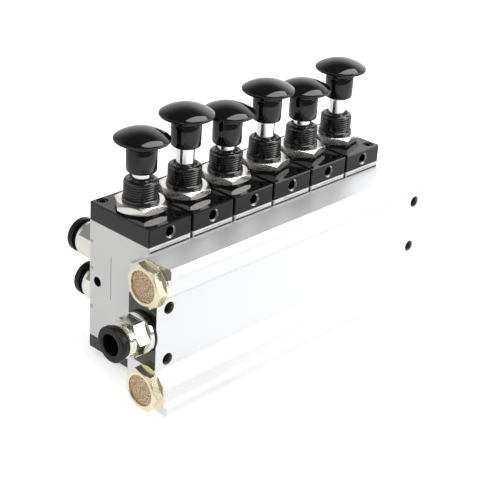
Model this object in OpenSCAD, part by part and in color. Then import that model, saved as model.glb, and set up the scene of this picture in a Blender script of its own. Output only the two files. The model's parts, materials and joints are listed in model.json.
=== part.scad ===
// Six station valve manifold with push-pull hand valves, in millimetres.
// Working frame: X runs along the manifold from the first valve's label side,
// Y runs from the manifold face to the tube outlets, Z = 0 is the top of the valve caps.
// The whole part is then placed with the middle of its box's underside at the origin.

/* [Stations] */
// Distance from one valve to the next along the manifold
pitch = 23; // [22.6:0.1:28]
// Width of a valve along the manifold
valve_w = 22; // [21.4:0.1:22.5]
// Depth of a valve from the manifold to its outlet face
valve_d = 34; // [33:0.5:44]
// Height of the light valve body between its two caps
body_h = 51.2; // [50.6:0.1:60]
// Height of the top cap
top_cap_h = 7.7; // [7:0.1:11]
// Height of the bottom cap
bottom_cap_h = 5.9; // [5.2:0.1:9]
// Radius of the caps' and bodies' upright edges
edge_r = 0.8; // [0.3:0.1:1.4]
// Chamfer round the caps' flat faces
cap_bevel = 0.4; // [0.1:0.1:0.8]

/* [Ports and passages] */
// Offset of the work ports from the middle port
work_off = 9.1; // [8.9:0.1:9.4]
// Offset of the exhaust ports from the middle port
exhaust_off = 19.7; // [19.4:0.1:20]
// Radius of the drilled passages
passage_r = 3; // [2.2:0.1:3.1]
// Radius of the work ports' thread, one eighth inch pipe
work_thread_r = 4.86; // [4.7:0.02:5]
// Depth of the work ports' thread
work_thread_l = 9; // [8.4:0.1:10]
// Radius of the supply and exhaust thread, one quarter inch pipe
main_thread_r = 6.58; // [6.3:0.02:6.7]
// Depth of the supply and exhaust thread
main_thread_l = 12; // [10.5:0.5:14]
// Radial gap round a screwed thread
thread_gap = 0.05; // [0.02:0.01:0.09]
// Radius of the hole through the valve body's side
side_hole_r = 2.1; // [1.6:0.1:2.2]
// Distance of that hole from the outlet face
side_hole_in = 5; // [4:0.1:6]
// Radius of the small threaded port in the top cap
cap_port_r = 2; // [1.5:0.1:2.1]
// Depth of the small port
cap_port_l = 6; // [3:0.5:8]

/* [Spool and knob] */
// Travel of the knob between pushed in and pulled out
travel = 4.5; // [3.9:0.1:4.8]
// Radius of the bright rod
rod_r = 3.68; // [3.4:0.02:3.9]
// Radius of the spool's lands
land_r = 5; // [4.6:0.05:5.1]
// Radius of the spool between its lands
neck_r = 2.6; // [2:0.1:2.9]
// Radial running gap of spool, rod and collets
run_gap = 0.05; // [0.02:0.01:0.09]
// Radius of the annular grooves round the spool at each port
groove_r = 5.8; // [5.4:0.05:5.85]
// Height of the sleeve's lower edge above the cap with the knob pushed in
knob_base = 15.7; // [14.5:0.1:20]
// Radius of the knob's head
head_r = 11; // [9.5:0.1:11.2]
// Height of the whole knob with its sleeve
knob_h = 17.9; // [16.5:0.1:20]
// Height from the sleeve's lower edge to the underside of the head
sleeve_h = 8.6; // [7.5:0.1:9.5]
// Radius of the sleeve
sleeve_r = 5.8; // [5:0.1:6.5]
// Height of the head's rim above the sleeve
rim_up = 3.4; // [2.6:0.1:4]
// Radius of the rounding round the head's rim
rim_r = 0.8; // [0.4:0.1:1.2]

/* [Bushing and lock nut] */
// Radius of the threaded bushing
bush_r = 6.54; // [6.2:0.02:6.9]
// Height of the bushing's top above the cap
bush_top = 12.6; // [10.5:0.1:14]
// Radius of the low shoulder under the lock nut
shoulder_r = 9; // [8:0.1:9.4]
// Height of that shoulder
shoulder_h = 0.8; // [0.4:0.1:1.5]
// Lock nut size across its flats
nut_af = 19; // [17.6:0.1:19.4]
// Thickness of the lock nut
nut_h = 3; // [2:0.1:5]
// Radius of the collar on top of the lock nut
collar_r = 7.2; // [6.95:0.05:8]
// Height of that collar
collar_h = 1.5; // [0.6:0.1:2.5]

/* [Manifold] */
// Height of the manifold
man_h = 62.6; // [62:0.1:70]
// Depth of its flanges
man_d = 22.2; // [21.4:0.1:26]
// Depth of the recessed web
web_d = 15.3; // [14.8:0.1:17]
// Height of the web's flat front
web_h = 29.6; // [28:0.1:31]
// Depth of the flanges' plain face behind the lips
face_d = 20.9; // [20.3:0.1:21]
// Height between the two plain faces' inner edges
face_gap_h = 39.6; // [38:0.1:41]
// Height of the flat seat for the valves
seat_h = 52; // [51.4:0.1:53]
// Height of each flange lip
lip_h = 3.9; // [3:0.1:5]
// Distance of the manifold's middle below the valves' middle port
man_drop = 2.7; // [2.2:0.1:2.9]
// Solid length before the first valve
near_end = 9.4; // [8:0.1:14]
// Solid length after the last valve
far_end = 16; // [12:0.5:24]
// Radius of the long galleries
gallery_r = 5.2; // [4:0.1:5.4]
// Depth of the supply gallery's axis behind the seat
supply_y = 7.65; // [7.6:0.05:7.9]
// Depth of the exhaust galleries' axes behind the seat
exhaust_y = 12.2; // [12.1:0.05:12.6]
// Offset of the exhaust galleries from the middle
exhaust_z = 22.1; // [22:0.1:22.5]
// Radius of the four mounting holes
mount_r = 2.5; // [1.8:0.1:3]
// Distance of the mounting holes from the manifold's ends
mount_in = 6.2; // [5:0.1:6.4]
// Distance between the upper and lower mounting holes
mount_gap = 22; // [21:0.1:23]

/* [Screws] */
// Radius of the cap screws' thread
cap_screw_r = 1.5; // [1.2:0.1:1.7]
// Radius of the cap screws' heads
cap_head_r = 2.2; // [2:0.1:2.5]
// Depth of the cap screws' seats
cap_head_l = 2.6; // [2:0.1:3.4]
// How far the cap screws go into the body
cap_screw_in = 4; // [3:0.1:4.2]
// Distance of a cap screw from the cap's side
cap_screw_x = 4; // [3.6:0.1:4.4]
// Distance of the rear cap screw from the outlet face
cap_screw_rear = 3; // [2.8:0.1:4]
// Distance of the front cap screw from the manifold face
cap_screw_front = 3.4; // [3:0.1:4.4]
// Radius of the long valve screws
valve_screw_r = 1.5; // [1.2:0.05:1.55]
// Radius of the valve screws' heads
valve_head_r = 2.75; // [2.4:0.05:2.8]
// Height of the valve screws' heads
valve_head_l = 3; // [2:0.1:4]
// Sideways offset of the valve screws from the spool
valve_screw_x = 7.5; // [7.45:0.05:7.6]
// Up and down offset of the valve screws from the middle port
valve_screw_z = 18.8; // [18.5:0.1:19]
// How far the valve screws go into the manifold
valve_screw_in = 5.8; // [4:0.1:6]

/* [Push-in fittings] */
// Outer radius of the tube
tube_r = 4; // [3.9:0.05:4.1]
// Radial gap between tube and socket
tube_gap = 0.05; // [0.03:0.01:0.1]
// Radius of the collets' sleeves
sleeve_out_r = 6.2; // [6:0.05:6.3]
// Length of a collet's sleeve inside its fitting at rest
sleeve_in = 3.2; // [2.6:0.1:3.6]
// How far a collet can be pushed in
collet_push = 1.2; // [0.8:0.1:1.4]
// Clear gap between a collet's flange and its fitting at rest
collet_gap = 2; // [1.8:0.1:2.6]
// Radius of the outlet collets' flanges
out_flange_r = 7.2; // [6.8:0.1:8]
// Thickness of the outlet collets' flanges
out_flange_h = 3; // [2:0.1:3.6]
// Outlet hex size across its flats
out_af = 14; // [13.8:0.1:15]
// Length of the upper outlet fittings outside the valve
out_len_a = 13.5; // [10:0.1:18]
// Length of the lower outlet fittings outside the valve
out_len_b = 9.3; // [8:0.1:16]
// Width of the round nickel ring at a fitting's mouth
ring_w = 1.4; // [1:0.1:2]
// Radius of the inlet collet's flange
in_flange_r = 7.5; // [7:0.1:8.5]
// Thickness of the inlet collet's flange
in_flange_h = 2.5; // [1.8:0.1:3.5]
// Inlet hex size across its flats
in_af = 15; // [14.6:0.1:17]
// Length of the inlet fitting outside the manifold
in_len = 9.5; // [8.6:0.1:14]
// Radius of the inlet's black seal ring
seal_r = 8.8; // [8.2:0.1:9.2]
// Thickness of the seal ring
seal_h = 1.6; // [1:0.1:2.4]

/* [Silencers and plugs] */
// Silencer hex size across its flats
sil_af = 16.5; // [15.8:0.1:17]
// Height of the silencer's hex
sil_hex_h = 4; // [3.4:0.1:6]
// Radius of the silencer's round seat
sil_seat_r = 9; // [8.6:0.1:9.2]
// Height of the round seat
sil_seat_h = 0.8; // [0.4:0.1:1.6]
// Radius of the granular disc
disc_r = 6.3; // [5.6:0.1:6.8]
// Thickness of the granular disc
disc_h = 3; // [2:0.1:3.2]
// Depth of the disc's face behind the silencer's rim
disc_in = 0.6; // [0.2:0.1:1]
// Length of the far end's socket plugs
plug_l = 8; // [6:0.5:9.5]
// Socket size of the plugs across its flats
plug_af = 6; // [4:0.5:8]

/* [Hidden] */
$fn = 72;
stations = 6;
fit_gap = 0.02;
spool_x = valve_w / 2;
spool_y = valve_d / 2;
body_top = -top_cap_h;
body_low = body_top - body_h;
valve_low = body_low - bottom_cap_h;
mid_z = body_top - body_h / 2;
man_z = mid_z - man_drop;
man_x0 = -near_end;
man_x1 = (stations - 1) * pitch + valve_w + far_end;
socket_r = tube_r + tube_gap;
seat_ring_l = 1.7;
bore_r = land_r + run_gap;
in_face = near_end + seal_h + in_len + collet_gap + in_flange_h;
out_face = valve_d + out_len_a + collet_gap + out_flange_h;
low_z = man_z - man_h / 2;
shift = [-(man_x1 - in_face) / 2, -(out_face - man_d) / 2, -low_z];
steel = [0.75, 0.75, 0.77];
nickel = [0.82, 0.81, 0.76];
black = [0.1, 0.1, 0.11];
bare = [0.86, 0.87, 0.88];
brass = [0.86, 0.78, 0.5];

// Place of a station's own frame
function station_x(i) = (i - 1) * pitch;
// Every second knob stands pulled out
function knob_up(i) = i % 2 == 0 ? travel : 0;
// Each lock nut stopped at its own angle when it was tightened
function nut_turn(i) = [-5, 0, 0, 13, 13, 12][i - 1];
function work_z(row) = row == 0 ? mid_z + work_off : mid_z - work_off;
function out_len(row) = row == 0 ? out_len_a : out_len_b;

// Moves the working frame to the finished part's frame
module placed() translate(shift) children();

// Station frame with the spool's axis at its origin
module at_spool(i) placed() translate([station_x(i) + spool_x, spool_y, 0]) children();

// Upright block with rounded corners
module round_block(w, d, h, r) linear_extrude(height = h) {
    translate([r, 0]) square([w - 2 * r, d]);
    translate([0, r]) square([w, d - 2 * r]);
    for (x = [r, w - r], y = [r, d - r]) translate([x, y]) circle(r);
}

// Rounded block whose upper and lower edges are bevelled all round
module bevel_block(w, d, h, r, low, high) intersection() {
    round_block(w, d, h, r);
    rotate([90, 0, 90]) linear_extrude(height = w) bevel_face(d, h, low, high);
    translate([0, d, 0]) rotate([90, 0, 0]) linear_extrude(height = d) bevel_face(w, h, low, high);
}

module bevel_face(w, h, low, high) polygon([
    [low, 0], [w - low, 0], [w, low], [w, h - high],
    [w - high, h], [high, h], [0, h - high], [0, low]
]);

// Hexagon with its corners turned off at 30 degrees, on one end or both
module hex_block(af, h, low, high) intersection() {
    cylinder(h = h, d = af / cos(30), $fn = 6);
    rotate_extrude() hex_profile(af / 2, af / 2 / cos(30), h, low, high);
}

module hex_profile(r, corner, h, low, high) {
    edge = (corner - r * 0.96) * tan(30);
    polygon([
        [0, 0], [low ? r * 0.96 : corner, 0], [corner, low ? edge : 0],
        [corner, high ? h - edge : h], [high ? r * 0.96 : corner, h], [0, h]
    ]);
}

// Socket head with a hexagon recess, its underside at z = 0
module socket_head(r, h, af) difference() {
    bevel_disc(r, h, 0.3);
    translate([0, 0, h * 0.45]) cylinder(h = h, d = af / cos(30), $fn = 6);
}

module bevel_disc(r, h, c) rotate_extrude()
    polygon([[0, 0], [r, 0], [r, h - c], [r - c, h], [0, h]]);

// Half of the manifold's outline, as depth and height above its middle
function man_half() = [
    [0, seat_h / 2], [-2, seat_h / 2 + 0.1],
    [-8, man_h / 2 - 0.8], [-man_d + 0.5, man_h / 2], [-man_d, man_h / 2 - 0.5],
    [-man_d, man_h / 2 - lip_h], [-face_d + 0.5, man_h / 2 - lip_h - 1],
    [-face_d, man_h / 2 - lip_h - 2.4], [-face_d, face_gap_h / 2],
    [-web_d, web_h / 2]
];

function flip(points) = [for (i = [len(points) - 1:-1:0]) [points[i][0], -points[i][1]]];

module man_profile() polygon(concat(man_half(), flip(man_half())));

module along_x(x0, x1, y, z, r)
    translate([x0, y, z]) rotate([0, 90, 0]) cylinder(h = x1 - x0, r = r);

// Gallery with a threaded mouth at both ends
module gallery(y, z) {
    along_x(man_x0 - 1, man_x1 + 1, y, z, gallery_r);
    along_x(man_x0 - 1, man_x0 + main_thread_l, y, z, main_thread_r + thread_gap);
    along_x(man_x1 - main_thread_l, man_x1 + 1, y, z, main_thread_r + thread_gap);
}

module manifold() color(bare) placed() difference() {
    translate([man_x0, 0, man_z]) rotate([90, 0, 90])
        linear_extrude(height = man_x1 - man_x0) man_profile();
    gallery(-supply_y, man_z);
    gallery(-exhaust_y, man_z + exhaust_z);
    gallery(-exhaust_y, man_z - exhaust_z);
    for (x = [man_x0 + mount_in, man_x1 - mount_in], side = [-1, 1])
        translate([x, 1, man_z + side * mount_gap / 2]) rotate([90, 0, 0])
            cylinder(h = web_d + 3, r = mount_r);
    for (i = [1:stations]) manifold_drillings(station_x(i) + spool_x);
}

// Passages from one valve to the galleries, and the tapped holes of its screws
module manifold_drillings(x) {
    cross_hole(x, mid_z, supply_y, passage_r);
    cross_hole(x, mid_z + exhaust_off, exhaust_y, passage_r);
    cross_hole(x, mid_z - exhaust_off, exhaust_y, passage_r);
    for (side = [-1, 1])
        cross_hole(x + side * valve_screw_x, mid_z + side * valve_screw_z,
            valve_screw_in + 0.4, valve_screw_r + fit_gap);
}

module cross_hole(x, z, depth, r)
    translate([x, 1, z]) rotate([90, 0, 0]) cylinder(h = depth + 1, r = r);

module end_plugs() color(nickel) placed()
    for (axis = [[supply_y, 0], [exhaust_y, exhaust_z], [exhaust_y, -exhaust_z]])
        translate([man_x1 - 0.4, -axis[0], man_z + axis[1]]) rotate([0, -90, 0]) socket_plug();

module socket_plug() difference() {
    cylinder(h = plug_l, r = main_thread_r);
    translate([0, 0, -1]) cylinder(h = plug_l * 0.6 + 1, d = plug_af / cos(30), $fn = 6);
}

// Valve body with its stepped bore, five port grooves and drilled passages
module valve_body(i) color(bare) placed() translate([station_x(i), 0, 0]) difference() {
    translate([0, 0, body_low]) bevel_block(valve_w, valve_d, body_h, edge_r, 0.1, 0.1);
    translate([spool_x, spool_y, body_low - 1]) cylinder(h = body_h + 2, r = bore_r);
    for (z = [-exhaust_off, -work_off, 0, work_off, exhaust_off])
        translate([spool_x, spool_y, mid_z + z - passage_r]) cylinder(h = 2 * passage_r, r = groove_r);
    for (z = [-exhaust_off, 0, exhaust_off]) front_port(mid_z + z);
    for (row = [0, 1]) work_port(work_z(row));
    gasket_pocket();
    translate([-1, valve_d - side_hole_in, mid_z]) rotate([0, 90, 0])
        cylinder(h = valve_w + 2, r = side_hole_r);
    for (side = [-1, 1]) valve_screw_hole(side);
    cap_screw_holes(body_top - cap_screw_in - 0.4, cap_screw_r + fit_gap, cap_screw_in + 1);
    mirrored_low() cap_screw_holes(body_low - 1, cap_screw_r + fit_gap, cap_screw_in + 1.4);
}

module front_port(z) translate([spool_x, spool_y, z]) rotate([90, 0, 0])
    cylinder(h = spool_y + 1, r = passage_r);

module work_port(z) translate([spool_x, valve_d, z]) rotate([90, 0, 0]) {
    translate([0, 0, -1]) cylinder(h = work_thread_l + 1, r = work_thread_r + thread_gap);
    cylinder(h = valve_d - spool_y, r = passage_r);
}

module valve_screw_hole(side)
    translate([spool_x + side * valve_screw_x, -1, mid_z + side * valve_screw_z]) rotate([-90, 0, 0]) {
        cylinder(h = valve_d + 2, r = valve_screw_r + 0.1);
        translate([0, 0, valve_d + 1 - valve_head_l - 0.2]) cylinder(h = valve_head_l + 2, r = valve_head_r + 0.1);
    }

// Two screw places on a diagonal of the cap
module cap_screw_holes(z, r, h) {
    translate([cap_screw_x, valve_d - cap_screw_rear, z]) cylinder(h = h, r = r);
    translate([valve_w - cap_screw_x, cap_screw_front, z]) cylinder(h = h, r = r);
}

// The lower cap's screws stand on the other diagonal
module mirrored_low() translate([valve_w, 0, 0]) mirror([1, 0, 0]) children();

gasket_w = 2 * passage_r + 4;
gasket_h = 2 * exhaust_off + 2 * passage_r + 4;
gasket_t = 1;

module gasket_pocket() translate([spool_x - gasket_w / 2, -1, mid_z - gasket_h / 2])
    cube([gasket_w, gasket_t + 1, gasket_h]);

module top_cap(i) color(black) placed() translate([station_x(i), 0, 0]) difference() {
    translate([0, 0, body_top]) bevel_block(valve_w, valve_d, top_cap_h, edge_r, 0.1, cap_bevel);
    translate([spool_x, spool_y, body_top - 1]) cylinder(h = top_cap_h + 2, r = bush_r + thread_gap);
    cap_screw_holes(body_top - 1, cap_screw_r + 0.1, top_cap_h + 2);
    cap_screw_holes(-cap_head_l, cap_head_r + 0.1, cap_head_l + 1);
    translate([spool_x, 0, body_top / 2]) rotate([-90, 0, 0]) cap_port();
}

module cap_port() rotate_extrude() polygon([
    [0, -1], [cap_port_r + 1.6, -1], [cap_port_r, 0.6], [cap_port_r, cap_port_l], [0, cap_port_l + cap_port_r * 0.5]
]);

// How far the spool's tail reaches into the bottom cap
tail_in = 2.5;

module bottom_cap(i) color(black) placed() translate([station_x(i), 0, 0]) difference() {
    translate([0, 0, valve_low]) bevel_block(valve_w, valve_d, bottom_cap_h, edge_r, cap_bevel, 0.1);
    translate([spool_x, spool_y, body_low - tail_in - 0.1]) cylinder(h = tail_in + 1, r = neck_r + 0.4);
    mirrored_low() cap_screw_holes(valve_low - 1, cap_screw_r + 0.1, bottom_cap_h + 2);
    mirrored_low() cap_screw_holes(valve_low - 1, cap_head_r + 0.1, cap_head_l + 1);
}

// Depth of the bushing's nose in the valve body
nose_l = 2.6;

// Threaded guide bushing with its shoulder, nose and seal groove
module bushing(i) color(black) at_spool(i) difference() {
    rotate_extrude() polygon([
        [0, body_top - nose_l], [bore_r - fit_gap, body_top - nose_l], [bore_r - fit_gap, body_top],
        [bush_r, body_top], [bush_r, 0], [shoulder_r, 0], [shoulder_r, shoulder_h],
        [bush_r, shoulder_h], [bush_r, nut_top], [collar_r, nut_top], [collar_r, nut_top + collar_h],
        [bush_r, nut_top + collar_h], [bush_r, bush_top - 1.2], [bush_r - 1.15, bush_top], [0, bush_top]
    ]);
    translate([0, 0, body_top - nose_l - 1]) cylinder(h = bush_top - body_top + nose_l + 2, r = rod_r + run_gap);
    translate([0, 0, rod_seal_z - rod_seal_r]) cylinder(h = 2 * rod_seal_r, r = rod_r + run_gap + 2 * rod_seal_r);
}

nut_top = shoulder_h + nut_h;
rod_seal_r = 0.65;
rod_seal_z = -4;

module lock_nuts() color(nickel) for (i = [1:stations]) at_spool(i)
    translate([0, 0, shoulder_h]) rotate([0, 0, nut_turn(i)]) difference() {
        hex_block(nut_af, nut_h, true, true);
        translate([0, 0, -1]) cylinder(h = nut_h + 2, r = bush_r + thread_gap);
    }

// Length of rod inside the knob
rod_in = 8.3;
land_low = passage_r + 0.1;
land_high = work_off + 1.7;

// Spool and rod turned from one bar: two lands, a stop collar and the rod
module spool(i) color(steel) at_spool(i) translate([0, 0, knob_up(i)]) rotate_extrude() polygon([
    [0, body_low - tail_in], [neck_r, body_low - tail_in],
    [neck_r, mid_z - land_high - travel], [land_r, mid_z - land_high - travel],
    [land_r, mid_z - land_low - travel], [neck_r, mid_z - land_low - travel],
    [neck_r, mid_z + land_low], [land_r, mid_z + land_low],
    [land_r, mid_z + land_high], [neck_r, mid_z + land_high],
    [neck_r, stop_z - 1.5], [land_r - 0.5, stop_z - 1.5], [land_r - 0.5, stop_z], [rod_r, stop_z],
    [rod_r, knob_base + rod_in - 0.4], [rod_r - 0.4, knob_base + rod_in], [0, knob_base + rod_in]
]);

stop_z = body_top - nose_l - travel - 0.1;

// Centre height of the rim's rounding, and the dome's radius that meets it smoothly
rim_z = sleeve_h + rim_up;
rim_c = head_r - rim_r;
rim_a = knob_h - rim_z;
dome_r = (rim_c * rim_c + rim_a * rim_a - rim_r * rim_r) / (2 * (rim_a - rim_r));

module knob_profile() {
    polygon([
        [0, 0], [sleeve_r - 1, 0], [sleeve_r, 1.2], [sleeve_r, sleeve_h - 0.1], [sleeve_r - 0.4, sleeve_h],
        [sleeve_r - 0.4, sleeve_h + 0.7], [sleeve_r, sleeve_h + 0.7],
        [rim_c + rim_r * sin(29), rim_z - rim_r * cos(29)], [rim_c, rim_z], [0, rim_z]
    ]);
    translate([rim_c, rim_z]) circle(rim_r);
    polygon([[0, rim_z], [rim_c, rim_z], dome_touch(), [0, dome_touch()[1]]]);
    intersection() {
        translate([0, knob_h - dome_r]) circle(dome_r, $fn = 180);
        polygon([[0, knob_h - dome_r], dome_ray(), [0, knob_h + 9]]);
    }
}

function dome_touch() = [rim_c, rim_z] + rim_r * dome_way();
function dome_ray() = [0, knob_h - dome_r] + 1.6 * dome_r * dome_way();
function dome_way() = [rim_c, rim_z - knob_h + dome_r] / norm([rim_c, rim_z - knob_h + dome_r]);

module knob(i) color(black) at_spool(i) translate([0, 0, knob_base + knob_up(i)]) difference() {
    rotate_extrude() knob_profile();
    translate([0, 0, -1]) cylinder(h = rod_in + 1.1, r = rod_r + fit_gap);
}

module cap_screws() color(black) placed() for (i = [1:stations]) translate([station_x(i), 0, 0]) {
    for (p = [[cap_screw_x, valve_d - cap_screw_rear], [valve_w - cap_screw_x, cap_screw_front]]) {
        translate([p[0], p[1], -cap_head_l]) cap_screw(top_cap_h - cap_head_l);
        translate([valve_w - p[0], p[1], valve_low + cap_head_l]) mirror([0, 0, 1])
            cap_screw(bottom_cap_h - cap_head_l);
    }
}

module cap_screw(grip) {
    socket_head(cap_head_r, cap_head_l - 0.3, cap_head_r * 1.15);
    translate([0, 0, -grip - cap_screw_in]) cylinder(h = grip + cap_screw_in, r = cap_screw_r);
}

module valve_screws() color(black) placed() for (i = [1:stations], side = [-1, 1])
    translate([station_x(i) + spool_x + side * valve_screw_x, valve_d - valve_head_l - 0.2, mid_z + side * valve_screw_z])
        rotate([-90, 0, 0]) {
            socket_head(valve_head_r, valve_head_l, 2.5);
            translate([0, 0, -valve_d + valve_head_l + 0.2 - valve_screw_in])
                cylinder(h = valve_d - valve_head_l - 0.2 + valve_screw_in, r = valve_screw_r);
        }

// Push-in fitting along +Z with its seat at z = 0 and its mouth at z = len
module fitting_body(thread_r, thread_l, af, len) difference() {
    union() {
        rotate([0, 0, 30]) hex_block(af, len - ring_w, false, true);
        cylinder(h = len, r = af / 2 - 0.05);
        translate([0, 0, -thread_l]) cylinder(h = thread_l + 1, r = thread_r);
    }
    translate([0, 0, len - sleeve_in - collet_push - 0.1]) cylinder(h = len, r = sleeve_out_r + run_gap);
    translate([0, 0, len - ring_end()]) cylinder(h = len, r = socket_r + 1.7);
    cylinder(h = len, r = socket_r);
    translate([0, 0, -thread_l - 1]) cylinder(h = len + thread_l, r = tube_r - 1);
}

function ring_end() = sleeve_in + collet_push + 0.1 + seat_ring_l;

// Release collet along +Z, placed by its fitting's mouth
module collet(flange_r, flange_h, len) translate([0, 0, len]) rotate_extrude() polygon([
    [tube_r + 0.15, -sleeve_in], [sleeve_out_r - 0.4, -sleeve_in], [sleeve_out_r, -sleeve_in + 0.8],
    [sleeve_out_r, collet_gap], [flange_r - 0.5, collet_gap], [flange_r, collet_gap + 0.5],
    [flange_r, collet_gap + flange_h - 0.8], [flange_r - 0.8, collet_gap + flange_h],
    [tube_r + 0.75, collet_gap + flange_h], [tube_r + 0.15, collet_gap + flange_h - 0.6]
]);

// Seal ring inside a fitting, placed by its mouth
module tube_seal(len) translate([0, 0, len - ring_end() + seat_ring_l / 2])
    rotate_extrude() translate([socket_r + seat_ring_l / 2, 0]) circle(seat_ring_l / 2 - 0.02);

module at_outlet(i, row) placed() translate([station_x(i) + spool_x, valve_d, work_z(row)])
    rotate([-90, 0, 0]) children();

module at_inlet() placed() translate([man_x0 - seal_h, -supply_y, man_z]) rotate([0, -90, 0]) children();

module outlet_bodies() color(nickel) for (i = [1:stations], row = [0, 1])
    at_outlet(i, row) fitting_body(work_thread_r, work_thread_l - 0.6, out_af, out_len(row));

module outlet_collet(i, row) color(black) at_outlet(i, row)
    collet(out_flange_r, out_flange_h, out_len(row));

module inlet_body() color(nickel) at_inlet()
    fitting_body(main_thread_r, main_thread_l - 1 + seal_h, in_af, in_len);

module inlet_collet() color(black) at_inlet() collet(in_flange_r, in_flange_h, in_len);

// Silencer: hex rim, round seat and hollow threaded shank, with a pocket for its disc
module silencer(side, turn) color(brass) placed()
    translate([man_x0, -exhaust_y, man_z + side * exhaust_z]) rotate([0, -90, 0]) difference() {
        union() {
            cylinder(h = sil_seat_h, r = sil_seat_r);
            translate([0, 0, sil_seat_h]) rotate([0, 0, 30 + turn]) hex_block(sil_af, sil_hex_h, false, true);
            translate([0, 0, 1 - main_thread_l]) cylinder(h = main_thread_l, r = main_thread_r);
        }
        translate([0, 0, sil_seat_h + sil_hex_h - disc_in - disc_h]) cylinder(h = disc_h + disc_in + 1, r = disc_r + fit_gap);
        translate([0, 0, -main_thread_l]) cylinder(h = main_thread_l + sil_hex_h, r = main_thread_r - 1.8);
    }

module silencer_discs() color(brass * 0.7) placed() for (side = [-1, 1])
    translate([man_x0, -exhaust_y, man_z + side * exhaust_z]) rotate([0, -90, 0])
        translate([0, 0, sil_seat_h + sil_hex_h - disc_in - disc_h]) cylinder(h = disc_h, r = disc_r);

// Rubber pieces: valve gaskets, rod seals, tube seals and the inlet's ring
module seals() color([0.15, 0.15, 0.15]) {
    for (i = [1:stations]) {
        placed() translate([station_x(i), 0, 0]) gasket();
        at_spool(i) translate([0, 0, rod_seal_z]) rotate_extrude()
            translate([rod_r + run_gap + rod_seal_r, 0]) circle(rod_seal_r - 0.02);
        for (row = [0, 1]) at_outlet(i, row) tube_seal(out_len(row));
    }
    at_inlet() tube_seal(in_len);
    at_inlet() translate([0, 0, -seal_h]) difference() {
        cylinder(h = seal_h, r = seal_r);
        translate([0, 0, -1]) cylinder(h = seal_h + 2, r = main_thread_r + thread_gap);
    }
}

module gasket() difference() {
    translate([spool_x - gasket_w / 2, 0, mid_z - gasket_h / 2]) cube([gasket_w, gasket_t, gasket_h]);
    for (z = [-exhaust_off, 0, exhaust_off]) front_port(mid_z + z);
}

manifold();
end_plugs();
inlet_body();
inlet_collet();
silencer(1, 0);  // silencer_upper
silencer(-1, 4);  // silencer_lower
silencer_discs();
valve_body(1);  // valve_body_1
valve_body(2);  // valve_body_2
valve_body(3);  // valve_body_3
valve_body(4);  // valve_body_4
valve_body(5);  // valve_body_5
valve_body(6);  // valve_body_6
top_cap(1);  // top_cap_1
top_cap(2);  // top_cap_2
top_cap(3);  // top_cap_3
top_cap(4);  // top_cap_4
top_cap(5);  // top_cap_5
top_cap(6);  // top_cap_6
bottom_cap(1);  // bottom_cap_1
bottom_cap(2);  // bottom_cap_2
bottom_cap(3);  // bottom_cap_3
bottom_cap(4);  // bottom_cap_4
bottom_cap(5);  // bottom_cap_5
bottom_cap(6);  // bottom_cap_6
bushing(1);  // bushing_1
bushing(2);  // bushing_2
bushing(3);  // bushing_3
bushing(4);  // bushing_4
bushing(5);  // bushing_5
bushing(6);  // bushing_6
spool(1);  // spool_1
spool(2);  // spool_2
spool(3);  // spool_3
spool(4);  // spool_4
spool(5);  // spool_5
spool(6);  // spool_6
knob(1);  // knob_1
knob(2);  // knob_2
knob(3);  // knob_3
knob(4);  // knob_4
knob(5);  // knob_5
knob(6);  // knob_6
lock_nuts();
cap_screws();
valve_screws();
outlet_bodies();
outlet_collet(1, 0);  // outlet_collet_a1
outlet_collet(2, 0);  // outlet_collet_a2
outlet_collet(3, 0);  // outlet_collet_a3
outlet_collet(4, 0);  // outlet_collet_a4
outlet_collet(5, 0);  // outlet_collet_a5
outlet_collet(6, 0);  // outlet_collet_a6
outlet_collet(1, 1);  // outlet_collet_b1
outlet_collet(2, 1);  // outlet_collet_b2
outlet_collet(3, 1);  // outlet_collet_b3
outlet_collet(4, 1);  // outlet_collet_b4
outlet_collet(5, 1);  // outlet_collet_b5
outlet_collet(6, 1);  // outlet_collet_b6
seals();
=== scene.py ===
import json
import math
import bpy
from mathutils import Matrix, Vector


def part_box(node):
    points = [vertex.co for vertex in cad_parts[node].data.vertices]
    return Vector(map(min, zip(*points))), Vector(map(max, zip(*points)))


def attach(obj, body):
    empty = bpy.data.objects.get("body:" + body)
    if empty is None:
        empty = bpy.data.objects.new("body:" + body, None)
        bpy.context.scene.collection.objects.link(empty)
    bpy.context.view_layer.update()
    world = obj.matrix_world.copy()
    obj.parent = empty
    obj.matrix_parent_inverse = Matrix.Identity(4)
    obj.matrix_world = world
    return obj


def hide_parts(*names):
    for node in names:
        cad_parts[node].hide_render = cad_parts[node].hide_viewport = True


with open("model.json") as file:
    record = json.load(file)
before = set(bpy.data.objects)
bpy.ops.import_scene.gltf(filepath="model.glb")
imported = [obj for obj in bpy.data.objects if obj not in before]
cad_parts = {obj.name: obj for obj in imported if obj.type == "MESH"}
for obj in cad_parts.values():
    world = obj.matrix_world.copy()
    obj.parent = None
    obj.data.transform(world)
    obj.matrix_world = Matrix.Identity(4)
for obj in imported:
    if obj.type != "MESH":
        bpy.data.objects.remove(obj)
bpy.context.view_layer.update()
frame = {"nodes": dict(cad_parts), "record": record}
stations = range(1, 7)
mm = 0.001
mergeDistance = 0.000002  # vertices closer than this, in metres, become one
print("frame loaded:", len(frame["nodes"]), "nodes")


# small helpers: selecting, applying, copying and dressing

def clearSelection():
    if bpy.context.object and bpy.context.object.mode != "OBJECT":
        bpy.ops.object.mode_set(mode="OBJECT")
    bpy.ops.object.select_all(action="DESELECT")


def activate(obj):
    clearSelection()
    obj.select_set(True)
    bpy.context.view_layer.objects.active = obj


def selectAll():  # every vertex, in edit mode
    bpy.ops.mesh.select_all(action="SELECT")


def applyModifiers(obj):
    activate(obj)
    for modifier in list(obj.modifiers):
        bpy.ops.object.modifier_apply(modifier=modifier.name)


def settle(obj):  # puts the place and turn of a piece into its mesh
    activate(obj)
    bpy.ops.object.transform_apply(location=True, rotation=True, scale=True)


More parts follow.
